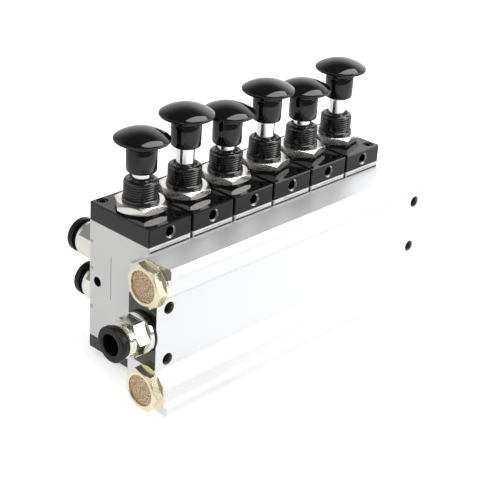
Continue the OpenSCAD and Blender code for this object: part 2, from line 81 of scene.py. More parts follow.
def copyPiece(source, name, move=(0, 0, 0), turn=None):
    piece = source.copy()
    piece.data = source.data.copy()
    piece.name = name
    bpy.context.scene.collection.objects.link(piece)
    if turn is not None:
        piece.data.transform(turn)
    piece.data.transform(Matrix.Translation(Vector(move)))
    return piece


def joinPieces(first, *others):
    activate(first)
    for other in others:
        other.select_set(True)
    bpy.ops.object.join()
    return first


def removePiece(obj):
    bpy.data.objects.remove(obj, do_unlink=True)


def centreOf(node):
    low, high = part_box(node)
    return (Vector(low) + Vector(high)) / 2


def axisPoint(name, height):  # a point on the upright axis through a CAD node
    centre = centreOf(name)
    return (centre.x, centre.y, height)


def smoothByAngle(obj, angle=32):
    activate(obj)
    bpy.ops.object.shade_smooth_by_angle(angle=math.radians(angle))


def evenShading(obj, angle=32):  # flat faces keep flat normals beside their soft edges
    smoothByAngle(obj, angle)
    weigh = obj.modifiers.new("evenShading", "WEIGHTED_NORMAL")
    weigh.keep_sharp = True
    weigh.weight = 50
    applyModifiers(obj)


def dress(obj, finishName):
    obj.data.materials.clear()
    obj.data.materials.append(finishes[finishName])


def finishPiece(piece, body, slotName, finishName, *nodes):
    dress(piece, finishName)
    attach(piece, body)
    if nodes:
        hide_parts(*nodes)


def arcPoints(centre, radius, start, stop, count):  # angles in degrees from the radial direction
    points = []
    for step in range(count + 1):
        angle = math.radians(start + (stop - start) * step / count)
        points.append((centre[0] + radius * math.cos(angle), centre[1] + radius * math.sin(angle)))
    return points


def startVertex(name):  # one vertex at the origin, in edit mode
    clearSelection()
    bpy.ops.mesh.primitive_plane_add(size=0.001)
    obj = bpy.context.object
    obj.name = name
    bpy.ops.object.mode_set(mode="EDIT")
    selectAll()
    bpy.ops.mesh.merge(type="CENTER")
    return obj


def drawOutline(outline):  # draws the vertex out along radius and height
    here = Vector((outline[0][0] * mm, 0, outline[0][1] * mm))
    bpy.ops.transform.translate(value=here)
    for radius, height in outline[1:]:
        point = Vector((radius * mm, 0, height * mm))
        bpy.ops.mesh.extrude_vertices_move(TRANSFORM_OT_translate={"value": point - here})
        here = point


# An outline spun round Z as on a lathe; it starts and ends on the axis or at the same point
def turnPiece(name, outline, steps=72, angle=32):
    obj = startVertex(name)
    drawOutline(outline)
    selectAll()
    bpy.ops.mesh.spin(steps=steps, angle=2 * math.pi, center=(0, 0, 0), axis=(0, 0, 1))
    selectAll()
    bpy.ops.mesh.remove_doubles(threshold=mergeDistance)
    bpy.ops.mesh.normals_make_consistent(inside=False)
    bpy.ops.object.mode_set(mode="OBJECT")
    smoothByAngle(obj, angle)
    return obj


# A raised screw thread: a small three-cornered section drawn up by a Screw modifier
def threadRidge(name, rootRadius, crestRadius, pitch, bottom, turns, steps=40):
    half, flat = pitch * 0.42, pitch * 0.06
    obj = startVertex(name)
    drawOutline([(rootRadius, -half), (crestRadius, -flat), (crestRadius, flat), (rootRadius, half),
                 (rootRadius, -half)])
    selectAll()
    bpy.ops.mesh.remove_doubles(threshold=mergeDistance)
    bpy.ops.transform.translate(value=(0, 0, bottom * mm))
    bpy.ops.object.mode_set(mode="OBJECT")
    screw = obj.modifiers.new("thread", "SCREW")
    screw.angle = 2 * math.pi
    screw.screw_offset = pitch * mm
    screw.iterations = turns
    screw.steps = steps
    screw.render_steps = steps
    applyModifiers(obj)
    bpy.ops.object.mode_set(mode="EDIT")
    selectAll()
    bpy.ops.mesh.fill_holes(sides=0)
    selectAll()
    bpy.ops.mesh.normals_make_consistent(inside=False)
    bpy.ops.object.mode_set(mode="OBJECT")
    smoothByAngle(obj, 20)
    return obj


def combine(piece, tool, operation):  # a boolean against a tool that is then thrown away
    cut = piece.modifiers.new("cut", "BOOLEAN")
    cut.operation = operation
    cut.solver = "EXACT"
    cut.object = tool
    applyModifiers(piece)
    removePiece(tool)


def softenEdges(piece, width, segments=2, angle=32):
    bevel = piece.modifiers.new("softEdge", "BEVEL")
    bevel.width = width * mm
    bevel.segments = segments
    bevel.limit_method = "ANGLE"
    bevel.angle_limit = math.radians(angle)
    applyModifiers(piece)
    evenShading(piece, angle)


def blockPiece(name, size, place):  # size in millimetres, place in metres
    clearSelection()
    bpy.ops.mesh.primitive_cube_add(size=1)
    block = bpy.context.object
    block.name = name
    block.scale = Vector(size) * mm
    block.location = place
    settle(block)
    return block


# A clean copy of a CAD node with its edges softly broken, as tumbled or moulded edges are
def softCopy(cadName, name, width, segments=2):
    piece = copyPiece(frame["nodes"][cadName], name)
    piece.parent = None
    for key in list(piece.keys()):
        if key.startswith("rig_"):
            del piece[key]
    activate(piece)
    if piece.data.has_custom_normals:
        bpy.ops.mesh.customdata_custom_splitnormals_clear()
    bpy.ops.object.mode_set(mode="EDIT")
    selectAll()
    bpy.ops.mesh.remove_doubles(threshold=mergeDistance)
    bpy.ops.mesh.dissolve_limited(angle_limit=math.radians(0.5))
    bpy.ops.object.mode_set(mode="OBJECT")
    softenEdges(piece, width, segments)
    return piece


def giveFaces(obj, finishName, test):  # a further finish for the faces that the test picks
    obj.data.materials.append(finishes[finishName])
    index = len(obj.data.materials) - 1
    for face in obj.data.polygons:
        if test(face):
            face.material_index = index


# finishes: one Principled shader each, with its grain and wear from nodes on Object coordinates, and painted
# shade, reflection or highlight in some

finishes = {}


def inputOf(finish, name):
    return finish.node_tree.nodes["Principled BSDF"].inputs[name]


def newFinish(name, colour, rough, metal=0.0, shine=0.5):
    finish = bpy.data.materials.new(name)
    finish.use_nodes = True
    inputOf(finish, "Base Color").default_value = (*colour, 1)
    inputOf(finish, "Roughness").default_value = rough
    inputOf(finish, "Metallic").default_value = metal
    inputOf(finish, "Specular IOR Level").default_value = shine
    finishes[name] = finish
    return finish


def node(finish, kind, **settings):
    made = finish.node_tree.nodes.new(kind)
    for key, value in settings.items():
        setattr(made, key, value)
    return made


def link(finish, start, end):
    finish.node_tree.links.new(start, end)


def placeOf(finish, stretch=(1, 1, 1)):
    coords = node(finish, "ShaderNodeTexCoord")
    mapping = node(finish, "ShaderNodeMapping")
    mapping.inputs["Scale"].default_value = stretch
    link(finish, coords.outputs["Object"], mapping.inputs["Vector"])
    return mapping.outputs["Vector"]


def noiseOf(finish, scale, detail=4.0, stretch=(1, 1, 1), rough=0.5):
    noise = node(finish, "ShaderNodeTexNoise")
    noise.inputs["Scale"].default_value = scale
    noise.inputs["Detail"].default_value = detail
    noise.inputs["Roughness"].default_value = rough
    link(finish, placeOf(finish, stretch), noise.inputs["Vector"])
    return noise.outputs["Fac"]


def grainsOf(finish, scale):
    grains = node(finish, "ShaderNodeTexVoronoi")
    grains.inputs["Scale"].default_value = scale
    link(finish, placeOf(finish), grains.inputs["Vector"])
    return grains.outputs["Distance"]


def rangeOf(finish, value, low, high, fromLow=0.3, fromHigh=0.7):
    mapped = node(finish, "ShaderNodeMapRange")
    mapped.inputs["From Min"].default_value = fromLow
    mapped.inputs["From Max"].default_value = fromHigh
    mapped.inputs["To Min"].default_value = low
    mapped.inputs["To Max"].default_value = high
    link(finish, value, mapped.inputs["Value"])
    return mapped.outputs["Result"]


def tint(finish, value, first, second, fromLow=0.3, fromHigh=0.7):
    mix = node(finish, "ShaderNodeMix", data_type="RGBA")
    mix.inputs["A"].default_value = (*first, 1)
    mix.inputs["B"].default_value = (*second, 1)
    link(finish, rangeOf(finish, value, 0.0, 1.0, fromLow, fromHigh), mix.inputs["Factor"])
    link(finish, mix.outputs["Result"], inputOf(finish, "Base Color"))


def roughen(finish, value, low, high, fromLow=0.3, fromHigh=0.7):
    link(finish, rangeOf(finish, value, low, high, fromLow, fromHigh), inputOf(finish, "Roughness"))


def nookOf(finish, reach):  # 1 in the open, towards 0 in narrow gaps
    nook = node(finish, "ShaderNodeAmbientOcclusion", samples=8)
    nook.inputs["Distance"].default_value = reach * mm
    return nook.outputs["AO"]


def darken(finish, dark, light):  # light: 0 takes the dark colour, 1 keeps the finish's own
    colour = inputOf(finish, "Base Color")
    mix = node(finish, "ShaderNodeMix", data_type="RGBA")
    mix.inputs["A"].default_value = (*dark, 1)
    mix.inputs["B"].default_value = colour.default_value
    if colour.is_linked:
        link(finish, colour.links[0].from_socket, mix.inputs["B"])
    link(finish, light, mix.inputs["Factor"])
    link(finish, mix.outputs["Result"], colour)


# painted shade: the colour turns to a dark one in narrow gaps, where shade falls
def paintNookShade(finish, reach, dark, fromLow, fromHigh):
    darken(finish, dark, rangeOf(finish, nookOf(finish, reach), 0.0, 1.0, fromLow, fromHigh))


def darkenBand(finish, dark, middle, half, soft):  # a level band round a height, in millimetres
    split = node(finish, "ShaderNodeSeparateXYZ")
    link(finish, placeOf(finish), split.inputs[0])
    away = node(finish, "ShaderNodeMath", operation="SUBTRACT")
    link(finish, split.outputs["Z"], away.inputs[0])
    away.inputs[1].default_value = middle * mm
    size = node(finish, "ShaderNodeMath", operation="ABSOLUTE")
    link(finish, away.outputs[0], size.inputs[0])
    darken(finish, dark, rangeOf(finish, size.outputs[0], 0.0, 1.0, (half - soft) * mm, (half + soft) * mm))


def emboss(finish, value, strength, distance):
    bump = node(finish, "ShaderNodeBump")
    bump.inputs["Strength"].default_value = strength
    bump.inputs["Distance"].default_value = distance
    link(finish, value, bump.inputs["Height"])
    link(finish, bump.outputs["Normal"], inputOf(finish, "Normal"))


# bright anodised extrusion: fine die lines along X and a faint cloud in the satin
finish = newFinish("extrudedAluminium", (0.93, 0.935, 0.945), 0.42, 0.8)
dieLines = noiseOf(finish, 1500, 3, (0.004, 1, 1))
roughen(finish, noiseOf(finish, 40, 3, (0.1, 1, 1)), 0.38, 0.46)
emboss(finish, dieLines, 0.06, 0.00003)

# the milled ends of the extrusion, nearly a mirror with faint cutter arcs
for name in ("milledEnd", "farEnd"):
    finish = newFinish(name, (0.74, 0.745, 0.75), 0.12, 1.0)
    cutterArcs = node(finish, "ShaderNodeTexWave", wave_type="RINGS", rings_direction="X")
    cutterArcs.inputs["Scale"].default_value = 900
    cutterArcs.inputs["Distortion"].default_value = 1.5
    link(finish, placeOf(finish), cutterArcs.inputs["Vector"])
    emboss(finish, cutterArcs.outputs["Fac"], 0.02, 0.00001)
    roughen(finish, noiseOf(finish, 160, 3), 0.08, 0.14)
# painted reflection: the near end would mirror the black collet, so a dark band is painted across it
endPaintedReflection = {"dark": (0.09, 0.09, 0.085), "middle": 31.2, "half": 13.9, "soft": 0.3}
darkenBand(finishes["milledEnd"], **endPaintedReflection)

# drilled holes, scored by the drill; painted shade makes them a darker grey than the extrusion, darker still
# deep inside
finish = newFinish("shadedDrilledHole", (0.55, 0.55, 0.56), 0.35, 1.0)
drillRings = node(finish, "ShaderNodeTexWave", wave_type="BANDS", bands_direction="Y")
drillRings.inputs["Scale"].default_value = 500
link(finish, placeOf(finish), drillRings.inputs["Vector"])
emboss(finish, drillRings.outputs["Fac"], 0.8, 0.0003)
roughen(finish, noiseOf(finish, 500, 3), 0.25, 0.45)
paintNookShade(finish, 6, (0.012, 0.012, 0.012), 0.3, 0.7)

# the turned chamfer of a small port: painted highlight, a lighter metal grey than the black moulding
finish = newFinish("paintedChamferHighlight", (0.42, 0.42, 0.41), 0.3, 1.0)
roughen(finish, noiseOf(finish, 600, 3), 0.2, 0.35)

# pearl grey anodised valve bodies, finely blasted
finish = newFinish("bodyAluminium", (0.73, 0.73, 0.715), 0.42, 0.15)
roughen(finish, noiseOf(finish, 220, 4), 0.36, 0.48)
tint(finish, noiseOf(finish, 45, 3), (0.78, 0.78, 0.765), (0.81, 0.81, 0.797))
emboss(finish, noiseOf(finish, 2600, 2), 0.12, 0.00003)
# painted shade: darker in the narrow gaps round each valve block
paintNookShade(finish, 4, (0.03, 0.03, 0.03), 0.15, 0.6)

# moulded gloss black caps
finish = newFinish("blackCap", (0.006, 0.0058, 0.006), 0.08)
roughen(finish, noiseOf(finish, 180, 5), 0.05, 0.1)
emboss(finish, noiseOf(finish, 500, 3), 0.02, 0.00001)

# polished black knobs, with the faint orange peel of the moulding
finish = newFinish("blackKnob", (0.004, 0.004, 0.0043), 0.05)
roughen(finish, noiseOf(finish, 120, 4), 0.035, 0.075)
emboss(finish, noiseOf(finish, 320, 2), 0.02, 0.00004)

# black oxidised bushings, a little worn at the crests
finish = newFinish("blackBushing", (0.012, 0.012, 0.0135), 0.12, 0.0, 0.9)
roughen(finish, noiseOf(finish, 500, 4), 0.08, 0.15)
tint(finish, noiseOf(finish, 260, 5), (0.006, 0.006, 0.007), (0.014, 0.014, 0.016))

# ground and polished rod: hair-fine rings round the axis
finish = newFinish("brightRod", (0.90, 0.90, 0.905), 0.12, 1.0)
roughen(finish, noiseOf(finish, 700, 2, (0.2, 0.2, 3)), 0.09, 0.16)

# nickel plate: warm on the nuts, faintly yellow-green on the fittings
finish = newFinish("nickelNut", (0.87, 0.845, 0.80), 0.25, 1.0)
roughen(finish, noiseOf(finish, 350, 5), 0.2, 0.34)
tint(finish, noiseOf(finish, 90, 2), (0.88, 0.855, 0.81), (0.92, 0.90, 0.86))
finish = newFinish("nickelFitting", (0.87, 0.865, 0.79), 0.16, 1.0)
roughen(finish, noiseOf(finish, 350, 5), 0.1, 0.22)
tint(finish, noiseOf(finish, 110, 4), (0.85, 0.84, 0.75), (0.89, 0.885, 0.83))
emboss(finish, noiseOf(finish, 260, 3), 0.04, 0.00002)

# acetal collets, blackened screws, zinc plated plugs
finish = newFinish("blackCollet", (0.004, 0.004, 0.0043), 0.35, 0.0, 0.3)
roughen(finish, noiseOf(finish, 600, 4), 0.28, 0.4)
emboss(finish, noiseOf(finish, 900, 4), 0.04, 0.00003)
finish = newFinish("blackScrew", (0.015, 0.015, 0.016), 0.35, 0.6)
roughen(finish, noiseOf(finish, 900, 4), 0.28, 0.45)
finish = newFinish("platedSteel", (0.62, 0.62, 0.62), 0.3, 1.0)
roughen(finish, noiseOf(finish, 400, 4), 0.24, 0.4)
tint(finish, noiseOf(finish, 120, 4), (0.57, 0.57, 0.56), (0.67, 0.67, 0.68))

# pale machined brass with turning marks, and fused grains of bronze
finish = newFinish("yellowBrass", (0.93, 0.86, 0.62), 0.25, 1.0)
roughen(finish, noiseOf(finish, 400, 4), 0.22, 0.32)
tint(finish, noiseOf(finish, 150, 4), (0.92, 0.84, 0.58), (0.96, 0.90, 0.70))
emboss(finish, noiseOf(finish, 500, 3), 0.02, 0.00001)
finish = newFinish("sinteredBronze", (0.66, 0.47, 0.27), 0.45, 0.5)
bronzeGrains = grainsOf(finish, 2100)
# the grains' own tone, with painted shade: lighter at each grain's middle, darker towards the gaps between
# grains
tint(finish, bronzeGrains, (0.88, 0.69, 0.46), (0.34, 0.22, 0.12), 0.25, 0.75)
roughen(finish, bronzeGrains, 0.35, 0.6, 0.2, 0.7)
finish = newFinish("blackRubber", (0.02, 0.02, 0.02), 0.6)
roughen(finish, noiseOf(finish, 700, 4), 0.5, 0.7)
finish = newFinish("greyPrint", (0.09, 0.09, 0.09), 0.5)
tint(finish, noiseOf(finish, 3000, 3), (0.06, 0.06, 0.06), (0.16, 0.16, 0.16))

slotFinish = {
    "extruded_aluminium": "extrudedAluminium", "body_aluminium": "bodyAluminium", "black_cap": "blackCap",
    "black_knob": "blackKnob", "black_bushing": "blackBushing", "bright_rod": "brightRod",
    "nickel_nut": "nickelNut", "nickel_fitting": "nickelFitting", "black_collet": "blackCollet",
    "black_screw": "blackScrew", "plated_steel": "platedSteel", "yellow_brass": "yellowBrass",
    "sintered_bronze": "sinteredBronze", "black_rubber": "blackRubber",
}
for part in frame["record"]["subparts"]:
    cadPiece = frame["nodes"][part["node"]]
    for slot in cadPiece.material_slots:
        slot.material = finishes[slotFinish[part["material_slot"]]]


# push-pull knobs: a polished mushroom head on a plain sleeve

knobMake = {
    "rodRadius": 3.7, "rodDepth": 8.4, "sleeveRadius": 6.05, "sleeveHeight": 9.6, "neckRadius": 5.6,
    "neckHeight": 0.7, "lower": 0.15, "rimHeight": 12.9, "rimCentre": 10.1, "rimRadius": 0.9, "rimLow": -61,
    "height": 17.0, "domeRadius": 18.44, "steps": 96, "smooth": 40,
}


def knobOutline(make):
    rod, sleeve, neck = make["rodRadius"], make["sleeveRadius"], make["neckRadius"]
    top = make["sleeveHeight"]
    domeCentre = make["height"] - make["domeRadius"]
    lean = math.degrees(math.atan2(make["rimHeight"] - domeCentre, make["rimCentre"]))
    rim = arcPoints((make["rimCentre"], make["rimHeight"]), make["rimRadius"], make["rimLow"], lean, 14)
    neckTop = (neck, top + make["neckHeight"])
    points = [(0, make["rodDepth"]), (rod, make["rodDepth"]), (rod, 0.3), (rod + 0.3, 0),
              (sleeve - 0.6, 0), (sleeve - 0.25, 0.25), (sleeve, 0.9), (sleeve, top - 0.25),
              (sleeve - 0.12, top - 0.06), (neck, top), neckTop]
    for part in (0.3, 0.65):  # the head's underside
        points.append((neckTop[0] + (rim[0][0] - neckTop[0]) * part,
                       neckTop[1] + (rim[0][1] - neckTop[1]) * part))
    return points + rim + arcPoints((0, domeCentre), make["domeRadius"], lean, 90, 26)[1:]


knobPattern = turnPiece("knobPattern", knobOutline(knobMake), knobMake["steps"], knobMake["smooth"])
for i in stations:
    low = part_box("knob_%d" % i)[0][2]
    knob = copyPiece(knobPattern, "pushPullKnob.%d" % i,
                     axisPoint("knob_%d" % i, low - knobMake["lower"] * mm))
    smoothByAngle(knob, knobMake["smooth"])
    finishPiece(knob, "hand_valve_%d" % i, "black_knob", "blackKnob", "knob_%d" % i)
removePiece(knobPattern)
print("knobs turned:", len(stations))


# guide bushings: turned body, shoulder, collar and a fine thread up to the rounded mouth

bushingMake = {
    "noseRadius": 5.03, "noseLength": 2.6, "capDepth": 7.7, "outerRadius": 6.85, "rootRadius": 6.35,
    "shoulderRadius": 9.0, "shoulderHeight": 0.8, "nutTop": 3.8, "collarRadius": 7.2, "collarTop": 5.3,
    "top": 12.6, "boreRadius": 3.73, "mouthRadius": 4.18, "pitch": 1.0, "turns": 6, "steps": 72,
    "eachTurned": 50,
}


def bushingOutline(make):
    bore, nose, outer = make["boreRadius"], make["noseRadius"], make["outerRadius"]
    root = make["rootRadius"]
    shoulder, ledge, nutTop = make["shoulderRadius"], make["shoulderHeight"], make["nutTop"]
    collar, collarTop = make["collarRadius"], make["collarTop"]
    mouth, top = make["mouthRadius"], make["top"]
    capFoot, foot = -make["capDepth"], -make["capDepth"] - make["noseLength"]
    return [
        (bore, foot), (nose, foot), (nose, capFoot), (outer, capFoot), (outer, 0), (shoulder, 0),
        (shoulder, ledge), (outer, ledge), (outer, nutTop), (collar - 0.15, nutTop), (collar, nutTop + 0.15),
        (collar, collarTop - 0.3), (collar - 0.3, collarTop), (root, collarTop + 0.1), (root, top - 1.5),
        (outer - 0.04, top - 1.25), (outer - 0.12, top - 0.85), (outer - 0.5, top - 0.35),
        (outer - 1.15, top), (mouth + 0.75, top), (mouth + 0.1, top - 0.55), (mouth, top - 1),
        (bore, top - 1), (bore, foot),
    ]


bushingPattern = turnPiece("bushingPattern", bushingOutline(bushingMake), bushingMake["steps"], 40)
ridge = threadRidge("bushingThread", bushingMake["rootRadius"] - 0.05, bushingMake["outerRadius"],
                    bushingMake["pitch"], bushingMake["collarTop"] + 0.3, bushingMake["turns"])
bushingPattern = joinPieces(bushingPattern, ridge)
for i in stations:
    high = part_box("bushing_%d" % i)[1][2]
    turn = Matrix.Rotation(math.radians(bushingMake["eachTurned"] * i), 4, "Z")
    bushing = copyPiece(bushingPattern, "guideBushing.%d" % i,
                        axisPoint("bushing_%d" % i, high - bushingMake["top"] * mm), turn)
    finishPiece(bushing, "manifold_block", "black_bushing", "blackBushing", "bushing_%d" % i)
removePiece(bushingPattern)
print("bushings turned and threaded:", len(stations))


# spools: the bright rod shows between knob and bushing, its lands run in the valve body

spoolMake = {
    "rodRadius": 3.68, "shaftRadius": 2.6, "landRadius": 5.0, "collarRadius": 4.5, "low": -61.4, "high": 23.7,
    "lands": ((-48.6, -40.9), (-30.2, -22.5)), "collar": (-16.4, -14.9), "steps": 72,
}


def spoolOutline(make):
    shaft, land, rod, end = make["shaftRadius"], make["landRadius"], make["rodRadius"], make["high"]
    points = [(0, make["low"]), (shaft - 0.3, make["low"]), (shaft, make["low"] + 0.3)]
    for low, high in make["lands"]:
        points += [(shaft, low), (land - 0.3, low), (land, low + 0.3),
                   (land, high - 0.3), (land - 0.3, high), (shaft, high)]
    low, high = make["collar"]
    points += [(shaft, low), (make["collarRadius"], low), (make["collarRadius"], high),
               (rod, high), (rod, end - 0.4), (rod - 0.4, end), (0, end)]
    return points


spoolPattern = turnPiece("spoolPattern", spoolOutline(spoolMake), spoolMake["steps"], 30)
for i in stations:
    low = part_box("spool_%d" % i)[0][2]
    spool = copyPiece(spoolPattern, "pistonRod.%d" % i,
                      axisPoint("spool_%d" % i, low - spoolMake["low"] * mm))
    finishPiece(spool, "hand_valve_%d" % i, "bright_rod", "brightRod", "spool_%d" % i)
removePiece(spoolPattern)
print("spools turned:", len(stations))


# hexagons: a six-sided bar between two turned cones, as nuts and fittings are made

def hexBlock(name, flats, bottom, top, lowTurn=0.0, highTurn=0.0):
    half = flats / 2
    corner = half / math.cos(math.radians(30))
    clearSelection()
    bpy.ops.mesh.primitive_cylinder_add(vertices=6, radius=corner * mm, depth=(top - bottom) * mm,
                                        location=(0, 0, (top + bottom) / 2 * mm))
    bar = bpy.context.object
    bar.name = name
    settle(bar)
    bpy.ops.object.mode_set(mode="EDIT")
    selectAll()  # turned to put a corner on +X
    bpy.ops.transform.rotate(value=math.radians(30), orient_axis="Z", center_override=(0, 0, 0))
    bpy.ops.object.mode_set(mode="OBJECT")
    slope = math.tan(math.radians(30))
    wide = corner + 1
    outline = [(0, bottom - (0 if lowTurn else 1))]
    if lowTurn:
        outline += [(half * lowTurn, bottom), (wide, bottom + (wide - half * lowTurn) * slope)]
    else:
        outline.append((wide, bottom - 1))
    if highTurn:
        outline += [(wide, top - (wide - half * highTurn) * slope), (half * highTurn, top)]
    else:
        outline.append((wide, top + 1))
    outline.append((0, top + (0 if highTurn else 1)))
    combine(bar, turnPiece(name + "Cones", outline, 96, 30), "INTERSECT")
    return bar


nutMake = {"flats": 19.0, "low": 0.8, "high": 3.8, "lowTurn": 1.03, "highTurn": 0.97, "hole": 6.87,
           "mouth": 0.6, "mouthDepth": 0.5, "edge": 0.05, "turns": (-5, 0, 0, 13, 13, 12)}
nutPattern = hexBlock("nutPattern", nutMake["flats"], nutMake["low"], nutMake["high"],
                      nutMake["lowTurn"], nutMake["highTurn"])
hole, mouth = nutMake["hole"], nutMake["hole"] + nutMake["mouth"]
combine(nutPattern, turnPiece("nutHole", [
    (0, -1), (hole, -1), (hole, nutMake["high"] - nutMake["mouthDepth"]), (mouth, nutMake["high"] + 0.1),
    (mouth, 6), (0, 6)]), "DIFFERENCE")
softenEdges(nutPattern, nutMake["edge"], 1)
for i in stations:
    turn = Matrix.Rotation(math.radians(nutMake["turns"][i - 1]), 4, "Z")
    nut = copyPiece(nutPattern, "lockNut.%d" % i,
                    axisPoint("bushing_%d" % i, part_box("top_cap_1")[1][2]), turn)
    finishPiece(nut, "manifold_block", "nickel_nut", "nickelNut", "lock_nuts")
removePiece(nutPattern)
print("lock nuts cut:", len(stations))


# moulded caps and machined bodies: the CAD solids with their edges broken

capMake = {"edge": 0.3, "segments": 3, "portSlope": (-0.97, -0.25), "portDepth": 1.0, "portRadius": 2.65}


def nearAxis(face, axes, middle, radius):  # whether a face lies close to a hole's axis
    offsets = [face.center["xyz".index(axis)] - value for axis, value in zip(axes, middle)]
    return math.hypot(*offsets) < radius * mm


for i in stations:
    for where in ("top", "bottom"):
        cap = softCopy("%s_cap_%d" % (where, i), "%sCap.%d" % (where, i),
                       capMake["edge"], capMake["segments"])
        finishPiece(cap, "manifold_block", "black_cap", "blackCap", "%s_cap_%d" % (where, i))
        if where == "top":
            low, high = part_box("top_cap_%d" % i)
            port = ((low[0] + high[0]) / 2, (low[2] + high[2]) / 2)
            giveFaces(cap, "paintedChamferHighlight", lambda face: (
                capMake["portSlope"][0] < face.normal.y < capMake["portSlope"][1]
                and face.center.y < low[1] + capMake["portDepth"] * mm
                and nearAxis(face, "xz", port, capMake["portRadius"])))
bodyMake = {
    "edge": 0.22, "segments": 2, "strip": (11.6, 0.5, 1.1), "stripLow": 9.85, "stripIn": 0.24,
    "sideHole": 5, "sideHoleRadius": 2.4, "smooth": 32,
}
for i in stations:
    block = softCopy("valve_body_%d" % i, "valveBlock.%d" % i, bodyMake["edge"], bodyMake["segments"])
    low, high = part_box("valve_body_%d" % i)
    stripHeight = bodyMake["stripLow"] - bodyMake["strip"][2] / 2
    # the wall above the upper port, which shows over the manifold
    combine(block, blockPiece("portWall", bodyMake["strip"], (
        (low[0] + high[0]) / 2, low[1] + bodyMake["stripIn"] * mm,
        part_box("top_cap_1")[1][2] - stripHeight * mm)), "UNION")
    evenShading(block, bodyMake["smooth"])
    finishPiece(block, "manifold_block", "body_aluminium", "bodyAluminium", "valve_body_%d" % i)
    hole = (high[1] - bodyMake["sideHole"] * mm, (low[2] + high[2]) / 2)
    giveFaces(block, "shadedDrilledHole", lambda face: abs(face.normal.x) < 0.4
              and nearAxis(face, "yz", hole, bodyMake["sideHoleRadius"]))
print("caps and valve blocks:", 3 * len(stations))

# manifold extrusion with milled ends and four drilled mounting holes
manifoldMake = {"edge": 0.22, "segments": 2, "holeIn": 6.2, "holeRise": 11, "holeReach": 2.9}
extrusion = softCopy("manifold", "manifoldExtrusion", manifoldMake["edge"], manifoldMake["segments"])
finishPiece(extrusion, "manifold_block", "extruded_aluminium", "extrudedAluminium", "manifold")
low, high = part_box("manifold")
giveFaces(extrusion, "milledEnd", lambda face: face.normal.x < -0.9)
giveFaces(extrusion, "farEnd", lambda face: face.normal.x > 0.9)
inward = manifoldMake["holeIn"] * mm
holes = [(x, (low[2] + high[2]) / 2 + side * manifoldMake["holeRise"] * mm)
         for x in (low[0] + inward, high[0] - inward) for side in (-1, 1)]
giveFaces(extrusion, "shadedDrilledHole", lambda face: abs(face.normal.y) < 0.6
          and any(nearAxis(face, "xz", hole, manifoldMake["holeReach"]) for hole in holes))
print("manifold extrusion:", len(extrusion.data.polygons), "faces")


# push-in fittings: nickelled hexagons and black release collets

fromCap = Vector((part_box("top_cap_1")[0][0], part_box("top_cap_1")[0][1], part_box("top_cap_1")[1][2]))
lying = Matrix.Rotation(math.radians(-90), 4, "Y")   # up becomes -X, as the inlet faces
facing = Matrix.Rotation(math.radians(-90), 4, "X")  # up becomes +Y, as the outlets face
nearEnd = -9.4  # the manifold's near end face, from the first cap's corner


def fromDrawing(x, y, z):  # millimetres from the first cap's upper left corner
    return fromCap + Vector((x, y, z)) * mm


inletMake = {
    "seat": -10.2, "mouth": -21.0, "back": -7.65, "height": -36.0, "flats": 14.0, "hexTurn": 0.96,
    "length": 10.8, "ringLength": 2.8, "ringRadius": 6.95, "baseRadius": 8.3, "baseHeight": 2.0,
    "neck": 6.7, "groove": 6.6, "rim": 6.4, "shank": 6.6, "shankLength": 11.8, "turn": 30, "edge": 0.05,
    "air": 3.0, "stop": 2.0, "tube": 4.05, "bore": 6.25, "boreFloor": 6.3,
}


def inletOutline(make):  # radius, and height from the seat along the fitting
    shank, foot = make["shank"], -make["shankLength"]
    base, baseTop = make["baseRadius"], make["baseHeight"]
    neck, ring, groove, end = make["neck"], make["ringRadius"], make["groove"], make["length"]
    return [
        (0, foot), (shank - 0.5, foot), (shank, foot + 0.5), (shank, 0.02), (base - 0.3, 0.02), (base, 0.35),
        (base, baseTop - 0.4), (base - 0.4, baseTop), (neck, baseTop + 0.02), (neck, 7.9), (ring - 0.1, 8.0),
        (ring, 8.1), (ring, 8.85), (groove, 9.0), (groove, 9.3), (ring, 9.45), (ring, 10.3),
        (ring - 0.45, end - 0.02), (make["rim"], end), (0, end),
    ]


inletHex = hexBlock("inletHex", inletMake["flats"], 0, inletMake["length"] - inletMake["ringLength"],
                    0, inletMake["hexTurn"])
combine(inletHex, turnPiece("inletTurned", inletOutline(inletMake), 96), "UNION")
combine(inletHex, turnPiece("inletBore", [
    (0, -20), (inletMake["air"], -20), (inletMake["air"], inletMake["stop"]),
    (inletMake["tube"], inletMake["stop"] + 0.6), (inletMake["tube"], inletMake["boreFloor"]),
    (inletMake["bore"], inletMake["boreFloor"]), (inletMake["bore"], 12), (0, 12)]), "DIFFERENCE")
softenEdges(inletHex, inletMake["edge"], 1)
inletFitting = copyPiece(inletHex, "inletFitting",
                         fromDrawing(inletMake["seat"], inletMake["back"], inletMake["height"]),
                         lying @ Matrix.Rotation(math.radians(inletMake["turn"]), 4, "Z"))
finishPiece(inletFitting, "manifold_block", "nickel_fitting", "nickelFitting", "inlet_body")
removePiece(inletHex)

# a collet's flange height and its gap at rest, at the inlet and at the outlets
colletMake = {"sleeve": 6.2, "depth": 3.2, "bore": 4.15, "flange": 7.2, "inlet": (2.5, 1.5),
              "outlet": (3.0, 2.0), "steps": 72, "smooth": 50}


def turnCollet(name, make, height, gap):
    bore, sleeve, flange = make["bore"], make["sleeve"], make["flange"]
    foot, top = -make["depth"], gap + height
    collet = turnPiece(name, [
        (bore, foot), (sleeve - 0.4, foot), (sleeve, foot + 0.8), (sleeve, gap), (flange - 0.5, gap),
        (flange - 0.12, gap + 0.15), (flange, gap + 0.5), (flange, top - 0.5), (flange - 0.15, top - 0.15),
        (flange - 0.5, top), (bore + 0.75, top), (bore + 0.2, top - 0.15), (bore, top - 0.6), (bore, foot),
    ], make["steps"], 40)
    evenShading(collet, make["smooth"])
    return collet


